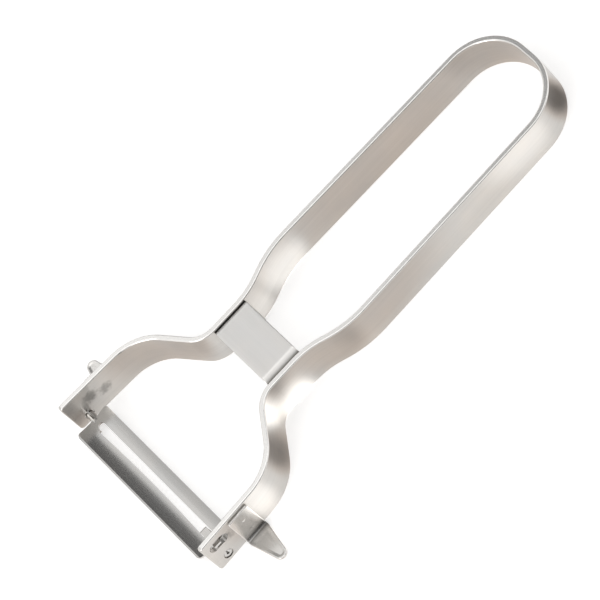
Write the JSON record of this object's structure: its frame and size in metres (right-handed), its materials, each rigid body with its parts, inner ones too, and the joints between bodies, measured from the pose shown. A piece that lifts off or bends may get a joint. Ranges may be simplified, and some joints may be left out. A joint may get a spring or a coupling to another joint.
{
  "type": "vegetable peeler",
  "caption": "Y-shaped stainless vegetable peeler: bent strip frame with a looped handle, folded neck collar, slotted swivel blade and an eye remover on each arm.",
  "frame": {"origin": "middle of the footprint, in the plane of the strip's back edges", "axes": "+X across the blade, +Y from the blade towards the handle's loop, +Z out of the front"},
  "size_m": [0.0818, 0.1428, 0.0123],
  "materials": {
    "strip_steel": "brushed along the strip, edges rolled bright",
    "collar_steel": "fine satin brushing",
    "sheet_steel": "satin, soft rim",
    "blade_steel": "ground along the edge, bright bevel"
  },
  "bodies": {
    "frame": {"frame_strip": "strip_steel", "neck_collar": "collar_steel", "left_eye_remover": "sheet_steel", "right_eye_remover": "sheet_steel"},
    "blade": {"swivel_blade": "blade_steel"}
  },
  "joints": [
    {"name": "blade_swivel", "type": "hinge", "parent": "frame", "child": "blade", "pos_m": [0, -0.06538, 0.00255], "axis": [1, 0, 0], "range_deg": [-21, 13]}
  ]
}
